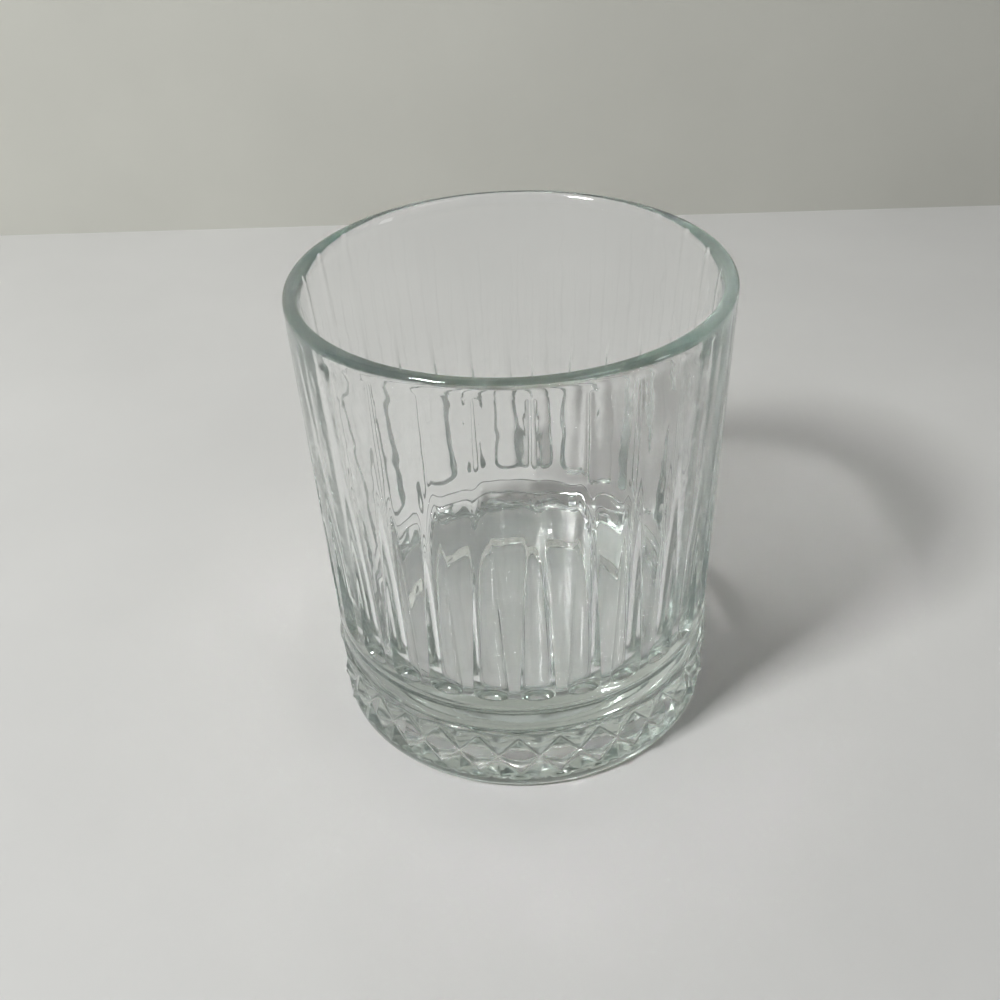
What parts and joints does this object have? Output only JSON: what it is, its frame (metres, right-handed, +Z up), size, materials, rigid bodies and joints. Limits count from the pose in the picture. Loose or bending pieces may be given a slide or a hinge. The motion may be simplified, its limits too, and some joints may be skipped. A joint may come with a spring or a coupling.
{
  "type": "rocks glass",
  "caption": "Clear pressed-glass rocks tumbler: thick rounded rim, tapering wall flutes, plain shoulder ring, diamond band, heavy base and recessed foot; holds a short drink.",
  "frame": {"origin": "centre of the standing face, on the axis of the glass", "axes": "+Z up along the axis of the glass, -Y towards the front, where a flute and a crossing of the diamond grooves are centred"},
  "size_m": [0.084, 0.084, 0.095],
  "materials": {
    "clear_glass": "polished, fire-polished rim, faint green-grey tint in the thick parts"
  },
  "bodies": {
    "root": {"rim": "clear_glass", "fluted_wall": "clear_glass", "shoulder_ring": "clear_glass", "diamond_band": "clear_glass", "heavy_base": "clear_glass", "foot_ring": "clear_glass"}
  },
  "joints": []
}
